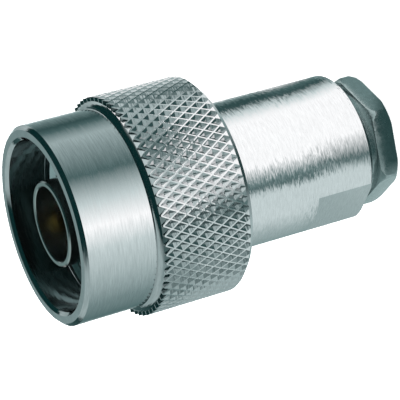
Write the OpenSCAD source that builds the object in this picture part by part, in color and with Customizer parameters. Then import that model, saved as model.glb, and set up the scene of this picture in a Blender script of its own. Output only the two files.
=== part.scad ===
// N type coaxial plug, straight, clamp type, for a 5 mm coaxial cable.
// Millimetres. The axis is Z. The cable enters at z = 0, where the plug stands on the back face
// of its clamp nut, and the mating rim of the coupling nut is the top.
// Stations called "down" are depths below the mating rim, as such a plug is dimensioned.
// Threads are plain cylinders at the depth of their grooves; the ridges are left out.

/* [Overall] */
// Length over everything, cable end to mating rim
overall_len = 34.2; // [33.4:0.1:41.2]

/* [Coupling nut] */
// Length of the coupling nut
nut_len = 16.2; // [15.6:0.1:19.5]
// Height of the knurl above the plain collar
knurl_rise = 0.98; // [0.5:0.02:2]
// Wall of the plain collar round the plain bore
collar_wall = 1.32; // [1:0.02:2]
// Length of the plain collar
collar_len = 6.8; // [5.6:0.1:7.6]
// Radius of the round shoulder between collar and knurl
shoulder_r = 1.3; // [1.1:0.05:1.6]
// Chamfer at the back edge of the knurl
knurl_chamfer = 0.53; // [0.3:0.01:0.7]
// Chamfer on the outside of the mating rim
rim_chamfer = 0.35; // [0.1:0.05:0.5]
// Chamfer on the inside of the mating rim
mouth_chamfer = 0.3; // [0.1:0.05:0.5]
// Major diameter of the coupling thread, 5/8-24
thread_d = 15.88; // [15.8:0.01:19.1]
// Radial clearance of the plain bore over the thread
lead_clearance = 0.06; // [0.02:0.01:0.3]
// Depth of the plain bore
lead_len = 3.9; // [1:0.1:4.5]
// Length of the coupling thread
thread_len = 5.7; // [4.5:0.1:6]

/* [Knurl] */
// Grooves round the nut in each of the two directions
knurl_starts = 70; // [50:1:80]
// Angle of the grooves to the axis
knurl_angle = 30; // [25:1:40]
// Depth of each pit
knurl_depth = 0.32; // [0.15:0.01:0.4]
// Width of the flat ridge left between two pits
knurl_land = 0.12; // [0.08:0.01:0.3]
// Distance from the front end of the shoulder to the tips of the knurl
knurl_stop = 0.45; // [0.35:0.01:0.6]
// Height of the rolled crests above the turned shoulder
crest_rise = 0.15; // [0.1:0.01:0.2]
// Length of the open notches between the last crests
notch_len = 0.5; // [0.3:0.02:0.6]

/* [Shell] */
// Diameter of the barrel behind the coupling nut
barrel_d = 14; // [13.8:0.1:16.8]
// Diameter of the journal on which the coupling nut turns
journal_d = 14; // [11.7:0.1:14.6]
// Radial running clearance between the journal and the coupling nut
nut_clearance = 0.08; // [0.03:0.01:0.1]
// Gap between the barrel and the clamp nut's hexagon
neck_gap = 1.5; // [0.5:0.1:3]
// Chamfer at the back end of the barrel
barrel_chamfer = 0.25; // [0:0.05:0.5]
// Depth of each of the two wrench flats
flat_depth = 0.5; // [0.2:0.1:0.8]
// Length of the wrench flats
flats_len = 5.9; // [4:0.1:9]

/* [Mating end] */
// Depth of the outer contact's front edge below the mating rim
contact_down = 0.9; // [0.4:0.1:1.4]
// Outside diameter of the outer contact
contact_d = 8; // [7.9:0.02:9.6]
// Wall of the outer contact
contact_wall = 0.5; // [0.4:0.02:0.6]
// Step from the outer contact to its pressed base
base_step = 0.3; // [0.1:0.05:0.5]
// Length of the pressed base
base_len = 4; // [3:0.1:4.6]
// Depth of the gasket seat below the mating rim
seat_down = 11.4; // [11.2:0.1:11.8]
// Thickness of the interface gasket
gasket_t = 1.4; // [1:0.1:1.5]
// Radial room between the outer contact and the interface gasket
gasket_room = 1.1; // [0.8:0.1:1.4]
// Diameter of the mating pin
pin_d = 1.65; // [1.6:0.01:1.68]
// Diameter of the inner conductor behind the mating pin
conductor_d = 3.04; // [2.9:0.02:3.2]
// Set-back of the pin's shoulder behind the outer contact's edge
shoulder_back = 5.3; // [5.2:0.1:5.8]
// Set-back of the pin's tip behind the outer contact's edge
tip_back = 2.2; // [1.6:0.1:3]

/* [Retaining ring] */
// Thickness of the retaining ring
ring_t = 0.8; // [0.5:0.05:1]
// Opening of the split ring, in degrees
ring_gap = 32; // [15:1:60]
// Depth of the ring's groove in the barrel
groove_depth = 0.85; // [0.6:0.05:1]

/* [Cable end] */
// Distance across the flats of the hexagon
hex_w = 11; // [10.6:0.1:13.2]
// Height of the hexagon
hex_h = 2; // [1.6:0.1:2.6]
// Diameter of the turned corners over the width across flats
corner_over = 1.5; // [1:0.05:1.7]
// Turn of the hexagon from the wrench flats when the nut is tight
hex_turn = 18; // [0:1:59]
// Step from the packing's bore to the clamp nut's thread root
clamp_step = 0.35; // [0.1:0.05:0.5]
// Height of the clamp nut's thread above its root
clamp_ridge = 0.3; // [0.2:0.05:0.4]
// Bore of the clamp nut for the cable
cable_d = 5.5; // [5:0.1:6.6]
// Depth to which the threaded part enters the barrel
clamp_in = 4.1; // [3.5:0.1:4.6]
// Thickness of the slip washer
washer_t = 0.8; // [0.5:0.1:1]
// Diameter of the washer, the cable gasket and the braid clamp
pack_d = 9.9; // [8.2:0.1:10]
// Length of the cable gasket before it is squeezed
cable_gasket_len = 4.2; // [3:0.1:5]
// Room left for the folded braid
braid_room = 1.4; // [1:0.1:2]
// Bore of the braid clamp, round the cable's insulation
braid_bore_d = 3.2; // [3:0.1:3.4]
// Thickness of the braid clamp's flange
flange_t = 1; // [0.6:0.1:1.4]

/* [Hidden] */
$fn = 96;

nickel = "#aab4b6";
silver = "#c9c8c2";
gold = "#d8b45a";
ptfe = "#f2f0ea";
silicone = "#2b2c2e";
neoprene = "#232425";

function level(down) = overall_len - down;

// coupling nut
nut_back = level(nut_len);
web_top = level(seat_down) - 0.4;
thread_top = level(lead_len);
thread_back = level(lead_len + thread_len);
nut_bore_r = journal_d / 2 + nut_clearance;
lead_r = thread_d / 2 + lead_clearance;
collar_r = lead_r + collar_wall;
knurl_r = collar_r + knurl_rise;
shoulder_z = level(collar_len);
rise = min(knurl_rise - crest_rise, shoulder_r);
shoulder_run = sqrt(pow(shoulder_r, 2) - pow(shoulder_r - rise, 2));
tip_z = shoulder_z - knurl_stop;

// radius of the turned shoulder under the crests at a height
function shoulder_at(z) = knurl_r - crest_rise - shoulder_r
  + sqrt(pow(shoulder_r, 2) - pow(max(0, z - shoulder_z + shoulder_run), 2));

// retaining ring
ring_mid = web_top - 1.9;
groove_r = journal_d / 2 - groove_depth;
ring_in_r = groove_r + 0.05;
ring_out_r = journal_d / 2 + 0.65;

// cable end
barrel_back = hex_h + neck_gap;
pack_r = pack_d / 2;
pack_bore_r = pack_r + 0.05;
clamp_root_r = pack_r + clamp_step;
clamp_bore_r = clamp_root_r + clamp_ridge + 0.05;
clamp_end = barrel_back + clamp_in;
thread_end = clamp_end + 0.8;
gasket_low = clamp_end + washer_t;
gasket_top = gasket_low + cable_gasket_len;
step_z = gasket_top + braid_room + flange_t;
cone_low = step_z - flange_t - 2.8;
cone_r = braid_bore_d / 2 + 0.9;

// mating end
seat_z = level(seat_down);
socket_z = seat_z - base_len;
contact_z = level(contact_down);
contact_r = contact_d / 2;
bead_r = contact_r - contact_wall;
base_r = contact_r + base_step;
bead_top = seat_z + 1.5;
conductor_r = conductor_d / 2;
lock_low = socket_z - 0.1;
lock_high = socket_z + 0.7;

// one four-sided pit: its rim lies clear outside the knurl, its apex on the knurl's root
circ_step = 2 * PI * knurl_r / knurl_starts;
axial_step = circ_step / tan(knurl_angle);
row_step = axial_step / 2;
turn_step = 360 / knurl_starts;
open = 1 - knurl_land / (circ_step * cos(knurl_angle));
proud = 0.8 * knurl_depth * (1 / open - 1);
flare = open * (knurl_depth + proud) / knurl_depth;
knurl_top = tip_z - 0.02;
knurl_rows = 1 + floor((knurl_top - nut_back - knurl_chamfer - 0.2) / row_step);

function pit_points(turn, z) = [
  for (s = [[1, 0], [0, 1], [-1, 0], [0, -1]])
    let (a = turn + s[0] * turn_step / 2 * flare, r = knurl_r + proud)
      [r * cos(a), r * sin(a), z + s[1] * row_step * flare],
  [(knurl_r - knurl_depth) * cos(turn), (knurl_r - knurl_depth) * sin(turn), z]
];

function pit_faces(b) = [
  [b, b + 1, b + 4], [b + 1, b + 2, b + 4], [b + 2, b + 3, b + 4], [b + 3, b, b + 4],
  [b, b + 3, b + 2], [b, b + 2, b + 1]
];

// every pit of the diamond knurl, alternate rows set over by half a step
module knurl_pits() {
  cells = [
    for (row = [0:knurl_rows - 1], i = [0:knurl_starts - 1])
      [(i + (row % 2) / 2) * turn_step, knurl_top - row * row_step]
  ];
  polyhedron(
    points = [for (c = cells) each pit_points(c[0], c[1])],
    faces = [for (j = [0:len(cells) - 1]) each pit_faces(5 * j)]
  );
}

function notch_points(turn) =
  let (
    slope = (shoulder_at(tip_z - notch_len) - shoulder_at(tip_z)) / notch_len,
    half = (turn_step / 2 - 0.4) * (notch_len + 0.03) / notch_len
  )
    [
      for (r0 = [0, knurl_r + proud], s = [0, 1, -1])
        let (
          z = tip_z + (s == 0 ? -notch_len : 0.03),
          r = r0 > 0 ? r0 : shoulder_at(tip_z) + 0.01 + slope * (tip_z - z),
          a = turn + s * half
        )
          [r * cos(a), r * sin(a), z]
    ];

function notch_faces(b) = [
  [b, b + 1, b + 2], [b + 3, b + 5, b + 4], [b + 1, b + 4, b + 5], [b + 1, b + 5, b + 2],
  [b, b + 3, b + 4], [b, b + 4, b + 1], [b, b + 2, b + 5], [b, b + 5, b + 3]
];

// the last row opens forward on to the turned shoulder, which leaves the crests as pointed tips
module knurl_notches() {
  polyhedron(
    points = [for (i = [0:knurl_starts - 1]) each notch_points(i * turn_step)],
    faces = [for (i = [0:knurl_starts - 1]) each notch_faces(6 * i)]
  );
}

// plain tube between two heights
module tube(r_out, r_in, z0, z1) {
  translate([0, 0, z0])
    difference() {
      cylinder(r = r_out, h = z1 - z0);
      translate([0, 0, -1])
        cylinder(r = r_in, h = z1 - z0 + 2);
    }
}

// rod between two heights, used to open bores
module rod(r, z0, z1) {
  translate([0, 0, z0])
    cylinder(r = r, h = z1 - z0);
}

// outline of the coupling nut from its back face up over the knurl to the mating rim
module nut_outline() {
  top = overall_len;
  polygon([
    [nut_bore_r - 1, nut_back],
    [knurl_r - knurl_chamfer, nut_back],
    [knurl_r, nut_back + knurl_chamfer],
    [knurl_r, tip_z],
    for (i = [0:6])
      let (z = tip_z + knurl_stop * i / 6)
        [shoulder_at(z), z],
    [collar_r, shoulder_z],
    [collar_r, top - rim_chamfer],
    [collar_r - rim_chamfer, top],
    [nut_bore_r - 1, top]
  ]);
}

// knurled nut that turns freely on the shell and screws onto the jack
module coupling_nut() {
  ring_r = ring_out_r + 0.12;
  color(nickel)
    difference() {
      rotate_extrude()
        nut_outline();
      rod(nut_bore_r, nut_back - 1, web_top + 1);
      rod(ring_r, ring_mid - ring_t / 2 - 0.2, ring_mid + ring_t / 2 + 0.2);
      rod(lead_r, web_top, thread_back);
      rod(thread_d / 2, thread_back - 1, thread_top + 1);
      rod(lead_r, thread_top, overall_len + 1);
      translate([0, 0, overall_len - mouth_chamfer])
        cylinder(r1 = lead_r, r2 = lead_r + mouth_chamfer + 1, h = mouth_chamfer + 1);
      knurl_pits();
      knurl_notches();
    }
}

// split spring ring, half in the barrel's groove and half in the nut's
module retaining_ring() {
  far = 3 * ring_out_r;
  color(nickel)
    difference() {
      tube(ring_out_r, ring_in_r, ring_mid - ring_t / 2, ring_mid + ring_t / 2);
      translate([0, 0, ring_mid - ring_t])
        linear_extrude(2 * ring_t)
          polygon([
            [0, 0],
            [far * cos(ring_gap / 2), far * sin(ring_gap / 2)],
            [far * cos(ring_gap / 2), -far * sin(ring_gap / 2)]
          ]);
    }
}

// outline of the shell, with the retaining ring's groove in the journal
module shell_outline() {
  r = barrel_d / 2;
  j = journal_d / 2;
  c = barrel_chamfer;
  polygon([
    [0, barrel_back],
    [r - c, barrel_back],
    [r, barrel_back + c],
    [r, nut_back - 0.3],
    [j, nut_back - 0.3],
    [j, ring_mid - ring_t / 2 - 0.05],
    [groove_r, ring_mid - ring_t / 2 - 0.05],
    [groove_r, ring_mid + ring_t / 2 + 0.05],
    [j, ring_mid + ring_t / 2 + 0.05],
    [j, seat_z - 0.2],
    [j - 0.2, seat_z],
    [0, seat_z]
  ]);
}

// turned shell: barrel, two wrench flats, clamp chamber behind and contact socket in front
module shell() {
  color(nickel)
    difference() {
      rotate_extrude()
        shell_outline();
      for (side = [-1, 1])
        translate([side * (barrel_d / 2 - flat_depth + 5), 0, barrel_back + flats_len / 2 - 1])
          cube([10, 2 * barrel_d, flats_len + 2], center = true);
      rod(clamp_bore_r, barrel_back - 1, thread_end);
      rod(pack_bore_r, thread_end - 1, step_z);
      rod(bead_r, step_z - 1, socket_z + 1);
      rod(base_r, socket_z, seat_z + 1);
      translate([0, 0, barrel_back - 0.5])
        cylinder(r1 = clamp_bore_r + 0.8, r2 = clamp_bore_r, h = 0.8);
    }
}

// thin sleeve that meets the jack's outer conductor, pressed into the shell
module outer_contact() {
  color(silver)
    rotate_extrude()
      polygon([
        [bead_r, socket_z],
        [base_r, socket_z],
        [base_r, seat_z],
        [contact_r, seat_z],
        [contact_r, contact_z - 0.12],
        [contact_r - 0.12, contact_z],
        [bead_r + 0.08, contact_z],
        [bead_r, contact_z - 0.08]
      ]);
}

// flat ring that seals against the jack's rim
module interface_gasket() {
  color(silicone)
    tube(journal_d / 2 - 0.1, contact_r + gasket_room, seat_z, seat_z + gasket_t);
}

// bead that centres the inner conductor in the outer contact
module front_insulator() {
  color(ptfe)
    difference() {
      rotate_extrude()
        polygon([
          [0, socket_z],
          [bead_r, socket_z],
          [bead_r, bead_top - 0.2],
          [bead_r - 0.2, bead_top],
          [0, bead_top]
        ]);
      rod(conductor_r, socket_z - 1, bead_top + 1);
      rod(conductor_r + 0.4, socket_z - 1, lock_high);
    }
}

// bead behind the contact's collar, held forward by the braid clamp
module rear_insulator() {
  color(ptfe)
    tube(bead_r, conductor_r - 0.2, step_z, lock_low);
}

// plated centre contact: mating pin, conductor, locking collar and solder cup
module centre_contact() {
  p = pin_d / 2;
  c = conductor_r;
  pin_z = contact_z - shoulder_back;
  tip_z = contact_z - tip_back;
  cup_z = step_z - 2.2;
  color(gold)
    difference() {
      rotate_extrude()
        polygon([
          [0, cup_z],
          [c - 0.35, cup_z],
          [c - 0.25, cup_z + 0.1],
          [c - 0.25, step_z],
          [c - 0.2, step_z],
          [c - 0.2, lock_low],
          [c + 0.4, lock_low],
          [c + 0.4, lock_high],
          [c, lock_high],
          [c, pin_z - 0.1],
          [c - 0.1, pin_z],
          [p, pin_z],
          [p, tip_z - 0.6],
          [p * 0.82, tip_z - 0.25],
          [p * 0.45, tip_z - 0.05],
          [0, tip_z]
        ]);
      rod(0.5, cup_z - 1, cup_z + 3.2);
      translate([0, 0, cup_z + 1.3])
        rotate([90, 0, 0])
          cylinder(r = 0.3, h = 2 * c, $fn = 32);
    }
}

// flanged cone: the cable's braid is spread over the cone and clamped
module braid_clamp() {
  color(nickel)
    rotate_extrude()
      polygon([
        [braid_bore_d / 2, cone_low],
        [cone_r, cone_low],
        [pack_r - 1.1, step_z - flange_t],
        [pack_r, step_z - flange_t],
        [pack_r, step_z],
        [braid_bore_d / 2, step_z]
      ]);
}

// soft ring that the clamp nut squeezes onto the cable, hollowed to take the cone
module cable_gasket() {
  r_in = cable_d / 2 - 0.2;
  r_top = max(cone_r + 0.95, r_in + 0.1);
  color(neoprene)
    rotate_extrude()
      polygon([
        [r_in, gasket_low],
        [pack_r, gasket_low],
        [pack_r, gasket_top],
        [r_top, gasket_top],
        [r_in, gasket_top - 1.7]
      ]);
}

// washer that keeps the turning nut from twisting the gasket
module slip_washer() {
  color(nickel)
    tube(pack_r, cable_d / 2 + 0.05, clamp_end, gasket_low);
}

// outline of the clamp nut: chamfered head, thread root and leading chamfer
module clamp_outline() {
  k = (hex_w + corner_over) / 2;
  polygon([
    [0, 0],
    [hex_w / 2 - 0.2, 0],
    [k, k - hex_w / 2 + 0.15],
    [k, hex_h - 0.13],
    [k - 0.15, hex_h],
    [clamp_root_r, hex_h],
    [clamp_root_r, clamp_end - 0.3],
    [clamp_root_r - 0.3, clamp_end],
    [0, clamp_end]
  ]);
}

// hexagon nut that screws into the shell and squeezes the cable packing
module clamp_nut() {
  color(nickel)
    difference() {
      intersection() {
        rotate_extrude()
          clamp_outline();
        union() {
          rotate([0, 0, hex_turn])
            cylinder(d = hex_w / cos(30), h = hex_h, $fn = 6);
          rod(clamp_root_r, hex_h - 0.5, clamp_end + 1);
        }
      }
      rod(cable_d / 2, -1, clamp_end + 1);
      translate([0, 0, -0.01])
        cylinder(r1 = cable_d / 2 + 0.4, r2 = cable_d / 2, h = 0.4);
    }
}

coupling_nut();
retaining_ring();
shell();
outer_contact();
interface_gasket();
front_insulator();
rear_insulator();
centre_contact();
braid_clamp();
cable_gasket();
slip_washer();
clamp_nut();
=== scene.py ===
import bpy
import bmesh
import math
from mathutils import Matrix, Vector


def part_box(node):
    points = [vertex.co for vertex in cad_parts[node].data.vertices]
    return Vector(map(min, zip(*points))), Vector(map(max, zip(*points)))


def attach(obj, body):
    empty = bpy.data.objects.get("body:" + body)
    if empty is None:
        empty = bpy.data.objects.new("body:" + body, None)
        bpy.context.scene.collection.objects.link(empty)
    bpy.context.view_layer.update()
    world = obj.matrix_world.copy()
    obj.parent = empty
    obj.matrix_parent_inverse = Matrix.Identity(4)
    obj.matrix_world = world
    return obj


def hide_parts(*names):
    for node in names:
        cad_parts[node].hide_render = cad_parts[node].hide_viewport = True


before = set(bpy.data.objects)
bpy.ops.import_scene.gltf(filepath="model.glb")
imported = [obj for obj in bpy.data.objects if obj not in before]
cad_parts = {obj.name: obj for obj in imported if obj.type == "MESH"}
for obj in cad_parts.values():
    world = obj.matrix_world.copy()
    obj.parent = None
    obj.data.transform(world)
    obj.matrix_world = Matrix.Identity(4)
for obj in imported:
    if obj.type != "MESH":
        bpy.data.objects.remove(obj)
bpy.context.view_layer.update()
MM = 0.001

# The camera. It looks down on the mating end from the side of one wrench flat, and is rolled so
# that the plug lies across the picture with its mating end on the left.
camera = bpy.data.cameras.new("camera")
camera.sensor_width = 36
camera.lens = 177.1
camera.clip_start, camera.clip_end = 0.01, 5
eye = bpy.data.objects.new("camera", camera)
right = Vector((-0.4286, -0.1979, -0.8816))
back = Vector((-0.4633, -0.7895, 0.4025)).normalized()
up = back.cross(right).normalized()
right = up.cross(back)
eye.matrix_world = Matrix.Translation(Vector((-85.92, -143.5, 92.11)) * MM) @ Matrix(
    (right, up, back)
).transposed().to_4x4()
bpy.context.scene.collection.objects.link(eye)
bpy.context.scene.camera = eye


# The floor and the card round it. A matt white sheet carries the plug's shadow. Over it lie rings
# of graded card that glow with light of their own and show only in polished metal: painted
# reflections that stand in for the black and white card that a studio lays round a bright turned part.
def srgb(hex_colour, alpha=1.0):
    """An sRGB hex value as linear colour."""
    c = [int(hex_colour[i : i + 2], 16) / 255 for i in (1, 3, 5)]
    return [v / 12.92 if v < 0.04045 else ((v + 0.055) / 1.055) ** 2.4 for v in c] + [alpha]


def add(tree, kind, links=None, **settings):
    """One node with its settings, and its inputs set to values or linked to other nodes."""
    node = tree.nodes.new(kind)
    for name, value in settings.items():
        setattr(node, name, value)
    for name, value in (links or {}).items():
        if isinstance(value, bpy.types.NodeSocket):
            tree.links.new(value, node.inputs[name])
        else:
            node.inputs[name].default_value = value
    return node


def new_material(name):
    material = bpy.data.materials.new(name)
    material.use_nodes = True
    material.node_tree.nodes.clear()
    return material, material.node_tree


def settle(shape):
    """The same mesh with its vertices and faces in one fixed order.

    Spin and bevel leave them in an order that changes from run to run, and the triangles that the
    flat faces are cut into change with it.
    """
    verts = sorted(shape.verts, key=lambda v: tuple(round(c, 4) for c in v.co))
    number = {v: i for i, v in enumerate(verts)}
    faces = []
    for face in shape.faces:
        ring = [number[v] for v in face.verts]
        start = ring.index(min(ring))
        faces.append(ring[start:] + ring[:start])
    settled = bmesh.new()
    fresh = [settled.verts.new(v.co) for v in verts]
    for ring in sorted(faces):
        settled.faces.new([fresh[i] for i in ring])
    settled.normal_update()
    shape.free()
    return settled


SHARP_EDGE = math.radians(25)


def mesh_object(name, shape):
    """A finished object from a bmesh worked in millimetres, smooth but for its sharp edges."""
    shape = settle(shape)
    bmesh.ops.scale(shape, vec=(MM, MM, MM), verts=shape.verts)
    mesh = bpy.data.meshes.new(name)
    shape.to_mesh(mesh)
    mesh.shade_smooth()
    mesh.set_sharp_from_angle(angle=SHARP_EDGE)
    shape.free()
    obj = bpy.data.objects.new(name, mesh)
    bpy.context.scene.collection.objects.link(obj)
    return obj


# sockets of the colour Mix node: its factor, its two colours, and the colour that comes out
FACTOR, FIRST, SECOND, MIXED = 0, 6, 7, 2
PURE_WHITE, NO_LIGHT = (1, 1, 1, 1), (0, 0, 0, 1)
FLOOR_WHITE = "#f4f5f5"
FLOOR_RADIUS = 900

# matt white paper: it takes the shadow, and a faint light of its own keeps it white to the camera
floor_material, tree = new_material("matt_white_paper")
path = add(tree, "ShaderNodeLightPath")
mirrored = add(
    tree, "ShaderNodeMath",
    {0: path.outputs["Is Glossy Ray"], 1: path.outputs["Is Transmission Ray"]},
    operation="MAXIMUM",
)
paint = add(tree, "ShaderNodeBsdfDiffuse", {"Color": srgb(FLOOR_WHITE)})
glow = add(tree, "ShaderNodeEmission", {"Color": PURE_WHITE, "Strength": 0.85})
faint = add(tree, "ShaderNodeEmission", {"Color": PURE_WHITE, "Strength": 0.4})
dark = add(tree, "ShaderNodeEmission", {"Color": NO_LIGHT, "Strength": 0.0})
lit = add(tree, "ShaderNodeMixShader", {0: mirrored.outputs[0], 1: dark.outputs[0], 2: faint.outputs[0]})
lit = add(
    tree, "ShaderNodeMixShader",
    {0: path.outputs["Is Camera Ray"], 1: lit.outputs[0], 2: glow.outputs[0]},
)
floor_shader = add(tree, "ShaderNodeAddShader", {0: paint.outputs[0], 1: lit.outputs[0]})
add(tree, "ShaderNodeOutputMaterial", {"Surface": floor_shader.outputs[0]})

shape = bmesh.new()
bmesh.ops.create_circle(shape, cap_ends=True, radius=FLOOR_RADIUS, segments=64)
floor = mesh_object("floor", shape)
floor.data.materials.append(floor_material)


def by_angle(tree, direction, stops):
    """A ramp of tones by the angle in degrees round the plug's axis."""
    # the radial gradient counts its turn from -X, so the pattern is turned by half a turn
    turn = add(tree, "ShaderNodeMapping", {"Vector": direction, "Rotation": (0, 0, math.pi)})
    angle = add(tree, "ShaderNodeTexGradient", {"Vector": turn.outputs[0]}, gradient_type="RADIAL")
    ramp = add(tree, "ShaderNodeValToRGB", {"Fac": angle.outputs["Fac"]})
    points = ramp.color_ramp.elements
    points[0].position, points[0].color = 0.0, srgb(stops[0][1])
    points[1].position, points[1].color = 1.0, srgb(stops[0][1])
    for degrees, tone in stops[1:]:
        points.new(degrees / 360).color = srgb(tone)
    return ramp.outputs["Color"]


CARD_LIGHT = 1.6
CARD_HEIGHT = 0.05


def glow_card_ring(name, stops, r_in, r_out, above=None):
    """A glowing ring of graded card on the floor: a painted reflection, seen only in metal.

    above gives the tones of its painted sheen from straight above.
    """
    material, tree = new_material(name)
    place = add(tree, "ShaderNodeTexCoord")
    tones = by_angle(tree, place.outputs["Object"], stops)
    # painted sheen: the glow takes the tones of above where the card is seen from straight above
    if above:
        facing = add(tree, "ShaderNodeLayerWeight", {"Blend": 0.5})
        sheen = add(
            tree, "ShaderNodeMapRange",
            {"Value": facing.outputs["Facing"], "From Min": 0.18, "From Max": 0.42},
            interpolation_type="SMOOTHSTEP",
        )
        steep = by_angle(tree, place.outputs["Object"], above)
        blend = add(
            tree, "ShaderNodeMix", {FACTOR: sheen.outputs[0], FIRST: steep, SECOND: tones},
            data_type="RGBA",
        )
        tones = blend.outputs[MIXED]
    light = add(tree, "ShaderNodeEmission", {"Color": tones, "Strength": CARD_LIGHT})
    add(tree, "ShaderNodeOutputMaterial", {"Surface": light.outputs[0]})
    shape = bmesh.new()
    bmesh.ops.create_circle(shape, radius=r_in, segments=96)
    out = bmesh.ops.extrude_edge_only(shape, edges=shape.edges[:])["geom"]
    ring = [v for v in out if isinstance(v, bmesh.types.BMVert)]
    bmesh.ops.scale(shape, vec=(r_out / r_in, r_out / r_in, 1), verts=ring)
    bmesh.ops.translate(shape, vec=(0, 0, CARD_HEIGHT), verts=shape.verts)
    obj = mesh_object(name, shape)
    obj.data.materials.append(material)
    obj.visible_camera = obj.visible_shadow = obj.visible_diffuse = False


# the tones of the glowing cards and of the room, from darkest to lightest
INK, BOTTLE, SLATE, GREY = "#082828", "#304848", "#486060", "#708484"
SILVER, PALE, WHITE = "#98a8a8", "#c0cccc", "#f8f8f8"

# painted sheen of the low and middle glowing cards: dark on one side when seen from straight above
PAINTED_SHEEN_ABOVE = [(0, SILVER), (180, SILVER), (230, BOTTLE), (280, BOTTLE), (330, SILVER)]
# under the rear end: glows with the painted reflection seen in the hexagon
glow_card_ring(
    "near_glow_card",
    [(0, GREY), (150, SILVER), (190, SILVER), (210, BOTTLE), (260, BOTTLE), (290, GREY)],
    3.0, 12,
)
# round the plug: painted reflections of a long white card with darker card at both of its ends,
# and of a short white one, all glowing
glow_card_ring("low_glow_card", [
    (0, SLATE), (45, WHITE), (90, GREY), (150, SILVER), (180, PALE), (205, PALE),
    (220, SLATE), (250, WHITE), (310, WHITE), (325, PALE), (340, BOTTLE),
], 12, 24, PAINTED_SHEEN_ABOVE)
# middle: glows with the painted reflection seen in the barrel, the same white card and a narrow
# dark strip beside it
glow_card_ring("middle_glow_card", [
    (0, BOTTLE), (20, GREY), (45, WHITE), (90, GREY), (130, SILVER), (160, PALE), (200, PALE),
    (210, SLATE), (220, GREY), (240, WHITE), (310, WHITE), (330, PALE), (345, BOTTLE),
], 24, 62, PAINTED_SHEEN_ABOVE)
# outer: glows with the painted reflection seen in the collar, a smaller white card and pale card
# on both sides of it
glow_card_ring("outer_glow_card", [
    (0, BOTTLE), (30, GREY), (45, PALE), (90, SLATE), (130, GREY), (160, SILVER), (200, PALE),
    (225, WHITE), (250, PALE), (280, SLATE), (330, SILVER), (350, SLATE),
], 62, 230)
# far off: glows as dark and light as the screens that stand behind it, a painted reflection
SCREENS = [
    (0, PALE), (60, SLATE), (100, INK), (150, SILVER), (190, SILVER), (220, BOTTLE),
    (250, BOTTLE), (280, SLATE), (300, PALE), (320, WHITE), (345, WHITE),
]
glow_card_ring("far_glow_card", SCREENS, 230, FLOOR_RADIUS - 10)


# The room and the lamps. Soft pale light comes from all round. Polished metal sees three bands of
# screens instead, at the height of the plug, above it and overhead, where it is dark but for one.
world = bpy.data.worlds.new("studio")
world.use_nodes = True
bpy.context.scene.world = world
tree = world.node_tree
tree.nodes.clear()
path = add(tree, "ShaderNodeLightPath")
way = add(tree, "ShaderNodeTexCoord").outputs["Generated"]
low = by_angle(tree, way, SCREENS)
middle = by_angle(tree, way, [
    (0, INK), (30, INK), (55, GREY), (110, SILVER), (150, GREY), (190, BOTTLE), (240, SILVER),
    (290, PALE), (310, PALE), (340, INK),
])
high = by_angle(tree, way, [(0, INK), (60, INK), (105, SILVER), (150, SILVER), (180, INK)])
height = add(tree, "ShaderNodeSeparateXYZ", {0: way})
# sine of the elevation at which one band turns into the next
rise = add(
    tree, "ShaderNodeMapRange",
    {"Value": height.outputs["Z"], "From Min": 0.22, "From Max": 0.3},
    interpolation_type="SMOOTHSTEP",
)
over = add(
    tree, "ShaderNodeMapRange",
    {"Value": height.outputs["Z"], "From Min": 0.5, "From Max": 0.75},
    interpolation_type="SMOOTHSTEP",
)
tones = add(
    tree, "ShaderNodeMix", {FACTOR: rise.outputs[0], FIRST: low, SECOND: middle}, data_type="RGBA"
)
tones = add(
    tree, "ShaderNodeMix", {FACTOR: over.outputs[0], FIRST: tones.outputs[MIXED], SECOND: high},
    data_type="RGBA",
)
room = add(tree, "ShaderNodeBackground", {"Color": tones.outputs[MIXED], "Strength": 1.5})
pale = add(tree, "ShaderNodeBackground", {"Color": srgb("#dfe3e3"), "Strength": 0.8})
white = add(tree, "ShaderNodeBackground", {"Color": PURE_WHITE, "Strength": 1.0})
soft = add(
    tree, "ShaderNodeMixShader",
    {0: path.outputs["Is Glossy Ray"], 1: pale.outputs[0], 2: room.outputs[0]},
)
soft = add(
    tree, "ShaderNodeMixShader",
    {0: path.outputs["Is Camera Ray"], 1: soft.outputs[0], 2: white.outputs[0]},
)
add(tree, "ShaderNodeOutputWorld", {"Surface": soft.outputs[0]})


def lamp(name, place, size, power):
    """A round soft lamp in metres and watts, aimed at the plug and not mirrored in it."""
    light = bpy.data.lights.new(name, "AREA")
    light.shape, light.size, light.energy = "DISK", size, power
    obj = bpy.data.objects.new(name, light)
    obj.location = place
    obj.rotation_mode = "QUATERNION"
    obj.rotation_quaternion = Vector(place).to_track_quat("Z", "Y")
    obj.visible_glossy = False
    bpy.context.scene.collection.objects.link(obj)


lamp("top_lamp", (0.05, 0.1, 0.6), 0.35, 2.0)
lamp("left_lamp", (-0.5, 0.1, 0.35), 0.3, 1.2)


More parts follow.
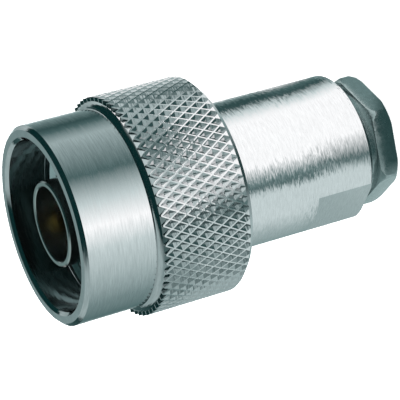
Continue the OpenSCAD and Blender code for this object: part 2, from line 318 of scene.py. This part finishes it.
# The coupling nut. It is turned from brass bar, knurled, bored, threaded inside and plated with
# bright nickel. The metal is nearly a mirror; the fine rings that the tool left lean it a little
# this way and that, which frays the edges of every reflection.
def plated(name, tone, rough, ring_mm, lean, patch=0.03, patch_mm=1.5, arc_mm=2.0, turned_mm=0):
    """Plated metal over turning rings: tone, roughness, ring width, and how far rings lean.

    Each ring keeps its lean for about arc_mm, and the polish varies by patch over patch_mm.
    Inside the radius turned_mm the surface is milled, and hardly leans.
    """
    material, tree = new_material(name)
    place = add(tree, "ShaderNodeTexCoord").outputs["Object"]
    along, across = 1 / (ring_mm * MM), 1 / (arc_mm * MM)
    stretch = add(tree, "ShaderNodeMapping", {"Vector": place, "Scale": (across, across, along)})
    rings = add(
        tree, "ShaderNodeTexNoise",
        {"Vector": stretch.outputs[0], "Scale": 1.0, "Detail": 2.0, "Roughness": 0.7},
    )
    tilt = add(
        tree, "ShaderNodeVectorMath", {0: rings.outputs["Color"], 1: (0.5, 0.5, 0.5)},
        operation="SUBTRACT",
    )
    tilt = add(tree, "ShaderNodeVectorMath", {0: tilt.outputs[0], "Scale": lean}, operation="SCALE")
    if turned_mm:
        flat = add(tree, "ShaderNodeVectorMath", {0: place, 1: (1, 1, 0)}, operation="MULTIPLY")
        radius = add(tree, "ShaderNodeVectorMath", {0: flat.outputs[0]}, operation="LENGTH")
        milled = add(tree, "ShaderNodeMapRange", {
            "Value": radius.outputs["Value"],
            "From Min": (turned_mm - 0.04) * MM, "From Max": (turned_mm - 0.02) * MM,
            "To Min": 0.2, "To Max": 1.0,
        })
        tilt = add(
            tree, "ShaderNodeVectorMath", {0: tilt.outputs[0], "Scale": milled.outputs[0]},
            operation="SCALE",
        )
    face = add(tree, "ShaderNodeNewGeometry")
    tilt = add(
        tree, "ShaderNodeVectorMath", {0: face.outputs["Normal"], 1: tilt.outputs[0]}, operation="ADD"
    )
    tilt = add(tree, "ShaderNodeVectorMath", {0: tilt.outputs[0]}, operation="NORMALIZE")
    cloud = add(
        tree, "ShaderNodeTexNoise", {"Vector": place, "Scale": 1 / (patch_mm * MM), "Detail": 3.0}
    )
    dull = add(
        tree, "ShaderNodeMapRange",
        {"Value": cloud.outputs["Fac"], "To Min": rough - patch, "To Max": rough + patch},
    )
    shade = add(tree, "ShaderNodeMapRange", {
        "Value": rings.outputs["Fac"],
        "From Min": 0.3, "From Max": 0.7, "To Min": 0.9, "To Max": 1.06,
    })
    colour = add(
        tree, "ShaderNodeMix", {FACTOR: 1.0, FIRST: srgb(tone), SECOND: shade.outputs[0]},
        data_type="RGBA", blend_type="MULTIPLY",
    )
    metal = add(tree, "ShaderNodeBsdfPrincipled", {
        "Base Color": colour.outputs[MIXED], "Metallic": 1.0,
        "Roughness": dull.outputs[0], "Normal": tilt.outputs[0],
    })
    add(tree, "ShaderNodeOutputMaterial", {"Surface": metal.outputs[0]})
    return material


def cover(node, material):
    """Gives a CAD node its finish."""
    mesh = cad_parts[node].data
    mesh.materials.clear()
    mesh.materials.append(material)


# bright nickel on turned brass: a clear mirror with a fine frayed grain round the axis. The real
# rings are about 0.05 mm apart, too fine to show, so they are drawn twice as wide.
bright_nickel = plated("turned_bright_nickel", "#d1d2d3", 0.09, 0.11, 0.14, arc_mm=1.6)
cover("coupling_nut", bright_nickel)


# The thread inside the coupling nut: a single-point 60 degree thread, 24 turns to the inch, cut
# in the nut's own metal and plated with it.
NUT_THREAD_ROOT, NUT_THREAD_CREST, NUT_PITCH = 7.94, 7.42, 1.058
NUT_THREAD_LOW, NUT_THREAD_HIGH = 24.6, 30.3
STEPS_PER_TURN = 72


def thread(name, r_root, r_crest, pitch, z_low, z_high, material, flat=0.125, sink=0.06):
    """A ridge wound round the axis from z_low to z_high, closed at both ends.

    Its foot is sunk into the wall by sink, and its crest is flat over that part of the pitch.
    """
    out = 1 if r_crest > r_root else -1
    base, top = pitch * (1 - flat) / 2, pitch * flat / 2
    foot = r_root - out * sink
    corners = [
        (foot, -base), (r_root, -base), (r_crest, -top), (r_crest, top), (r_root, base), (foot, base),
    ]
    shape = bmesh.new()
    ridge = [shape.verts.new((r, 0, z_low + base + z)) for r, z in corners]
    loop = [shape.edges.new((a, b)) for a, b in zip(ridge, ridge[1:] + ridge[:1])]
    turns = (z_high - z_low - 2 * base) / pitch
    steps = round(STEPS_PER_TURN * turns)
    bmesh.ops.spin(
        shape, geom=ridge + loop, axis=(0, 0, 1), cent=(0, 0, 0), dvec=(0, 0, pitch * turns / steps),
        angle=2 * math.pi * turns, steps=steps, use_merge=False, use_duplicate=False,
    )
    bmesh.ops.holes_fill(shape, edges=[e for e in shape.edges if e.is_boundary], sides=0)
    bmesh.ops.remove_doubles(shape, verts=shape.verts, dist=1e-5)
    bmesh.ops.recalc_face_normals(shape, faces=shape.faces)
    piece = mesh_object(name, shape)
    piece.data.materials.append(material)
    return piece


# nickel over a cut thread: duller than the turned faces, because the plating is thin in the roots
cut_nickel = plated("thread_nickel", "#c4d6d6", 0.34, 0.2, 0.1)
nut_thread = thread(
    "nut_thread", NUT_THREAD_ROOT, NUT_THREAD_CREST, NUT_PITCH, NUT_THREAD_LOW, NUT_THREAD_HIGH,
    cut_nickel,
)
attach(nut_thread, "coupling_nut_body")


# The barrel. Turned brass under bright nickel, finished less finely than the nut, with two wrench
# flats milled across its rear end.
BARREL_R = 7.0
# the same bright nickel, whose rings lean further and break the long highlight into streaks
barrel_nickel = plated(
    "turned_barrel_nickel", "#d1d2d3", 0.08, 0.11, 0.40, arc_mm=0.8, turned_mm=BARREL_R
)
cover("shell", barrel_nickel)


# The retaining ring between nut and barrel: a split ring of hard spring wire, bright drawn. Its
# grey is a little duller than the nickel round it.
cover("retaining_ring", plated("drawn_spring_wire", "#9fa3a2", 0.25, 0.2, 0.05))


# The contacts. The outer sleeve is silver on brass, a little toned by air, so its shine is soft;
# the pin is gold on beryllium copper, its tip rounded in the lathe and its polish dulled by use.
cover("outer_contact", plated("toned_silver_plate", "#b8bebc", 0.2, 0.08, 0.06))
cover("centre_contact", plated("polished_gold_plate", "#c89c50", 0.28, 0.06, 0.04))


# The insulators. PTFE turned from rod: a waxy white that lets a little light in, with faint tool
# rings and no gloss.
def grained(name, tone, dark_tone, rough, grain_mm, height_mm, light_in=0.0, cloud_mm=2.0):
    """A plastic or rubber with cloudy colour and a fine surface grain."""
    material, tree = new_material(name)
    place = add(tree, "ShaderNodeTexCoord").outputs["Object"]
    cloud = add(
        tree, "ShaderNodeTexNoise", {"Vector": place, "Scale": 1 / (cloud_mm * MM), "Detail": 3.0}
    )
    colour = add(
        tree, "ShaderNodeMix",
        {FACTOR: cloud.outputs["Fac"], FIRST: srgb(dark_tone), SECOND: srgb(tone)},
        data_type="RGBA",
    )
    grain = add(
        tree, "ShaderNodeTexNoise", {"Vector": place, "Scale": 1 / (grain_mm * MM), "Detail": 2.0}
    )
    bump = add(
        tree, "ShaderNodeBump",
        {"Strength": 0.5, "Distance": height_mm * MM, "Height": grain.outputs["Fac"]},
    )
    body = add(tree, "ShaderNodeBsdfPrincipled", {
        "Base Color": colour.outputs[MIXED], "Roughness": rough, "Normal": bump.outputs[0],
        "Subsurface Weight": light_in, "Subsurface Scale": 1.0 * MM,
    })
    add(tree, "ShaderNodeOutputMaterial", {"Surface": body.outputs[0]})
    return material


ptfe = grained("turned_ptfe", "#eeeeea", "#e2e2dc", 0.5, 0.15, 0.006, light_in=0.15)
cover("front_insulator", ptfe)
cover("rear_insulator", ptfe)


# The gaskets. Silicone rubber at the mating face and neoprene round the cable, both moulded, dark
# and dull with a soft bloom.
cover("interface_gasket", grained("moulded_silicone", "#2c3436", "#222a2c", 0.55, 0.1, 0.004))
cover("cable_gasket", grained("moulded_neoprene", "#1d1d1e", "#151516", 0.7, 0.12, 0.006))


# The braid clamp and the slip washer: plain turned brass rings under nickel, left as they come
# from the lathe, so duller than the nut.
plain_nickel = plated("turned_plain_nickel", "#b9c0c0", 0.2, 0.1, 0.06)
cover("braid_clamp", plain_nickel)
cover("slip_washer", plain_nickel)


# The clamp nut. Brass bar, turned and threaded in front, bored for the cable, with six flats
# milled across its head. The nickel over it is satin and a little mottled.
HEX_FLATS, HEX_TURN, HEAD = 11.0, 18, 2.0
CORNER_R = HEX_FLATS / 2 + 0.75
SHANK_R, CLAMP_END, BORE_R = 5.3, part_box("clamp_nut")[1][2] / MM, 2.75
CLAMP_RIDGE, CLAMP_PITCH = 0.3, 0.75
EDGE_ROUND, EDGE_ANGLE = 0.08, math.radians(18)
BLANK_STEPS = 120

# the turned blank, from the cable's countersink round the outside to the bore
outline = [
    (BORE_R + 0.4, 0), (CORNER_R - 0.5, 0), (CORNER_R - 0.2, 0.2), (CORNER_R, 0.6),
    (CORNER_R, HEAD - 0.5), (CORNER_R - 0.3, HEAD), (SHANK_R, HEAD), (SHANK_R, CLAMP_END - 0.3),
    (SHANK_R - 0.3, CLAMP_END), (BORE_R, CLAMP_END), (BORE_R, 0.4),
]
shape = bmesh.new()
points = [shape.verts.new((r, 0, z)) for r, z in outline]
for a, b in zip(points, points[1:] + points[:1]):
    shape.edges.new((a, b))
bmesh.ops.spin(
    shape, geom=shape.verts[:] + shape.edges[:], axis=(0, 0, 1), cent=(0, 0, 0),
    angle=2 * math.pi, steps=BLANK_STEPS, use_merge=True,
)
bmesh.ops.remove_doubles(shape, verts=shape.verts, dist=1e-4)
shape = settle(shape)
# the six flats, milled across the head only
for k in range(6):
    angle = math.radians(HEX_TURN + 30 + 60 * k)
    out = Vector((math.cos(angle), math.sin(angle), 0))
    head = [
        f for f in shape.faces
        if all(v.co.z < HEAD + 1e-3 and v.co.xy.length > BORE_R + 0.3 for v in f.verts)
    ]
    geom = head + list(dict.fromkeys(e for f in head for e in f.edges))
    geom += list(dict.fromkeys(v for f in head for v in f.verts))
    cut = bmesh.ops.bisect_plane(
        shape, geom=geom, plane_co=out * HEX_FLATS / 2, plane_no=out, clear_outer=True, dist=1e-5
    )["geom_cut"]
    bmesh.ops.contextual_create(shape, geom=[e for e in cut if isinstance(e, bmesh.types.BMEdge)])
    shape = settle(shape)
bmesh.ops.recalc_face_normals(shape, faces=shape.faces)
shape = settle(shape)
# the head's edges, rounded a little by deburring
sharp = [
    e for e in shape.edges
    if len(e.link_faces) == 2 and e.calc_face_angle() > EDGE_ANGLE
    and all(v.co.xy.length > SHANK_R + 0.1 for v in e.verts)
]
bmesh.ops.bevel(
    shape, geom=sharp, offset=EDGE_ROUND, segments=2, profile=0.5, affect="EDGES", material=-1,
    clamp_overlap=True,
)
clamp_nut = mesh_object("clamp_nut_turned", shape)
# satin nickel on milled brass: a soft shine, mottled every 0.4 mm or so where the cutter dwelt
satin_nickel = plated(
    "satin_nickel", "#b8c2c2", 0.24, 0.35, 0.14, patch=0.08, patch_mm=0.4, arc_mm=0.4
)
clamp_nut.data.materials.append(satin_nickel)
clamp_thread = thread(
    "clamp_thread", SHANK_R, SHANK_R + CLAMP_RIDGE, CLAMP_PITCH, HEAD + 0.1, CLAMP_END - 0.3,
    satin_nickel,
)
for piece in (clamp_nut, clamp_thread):
    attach(piece, "clamp_nut_body")
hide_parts("clamp_nut")

bpy.context.scene.view_settings.view_transform = "Standard"
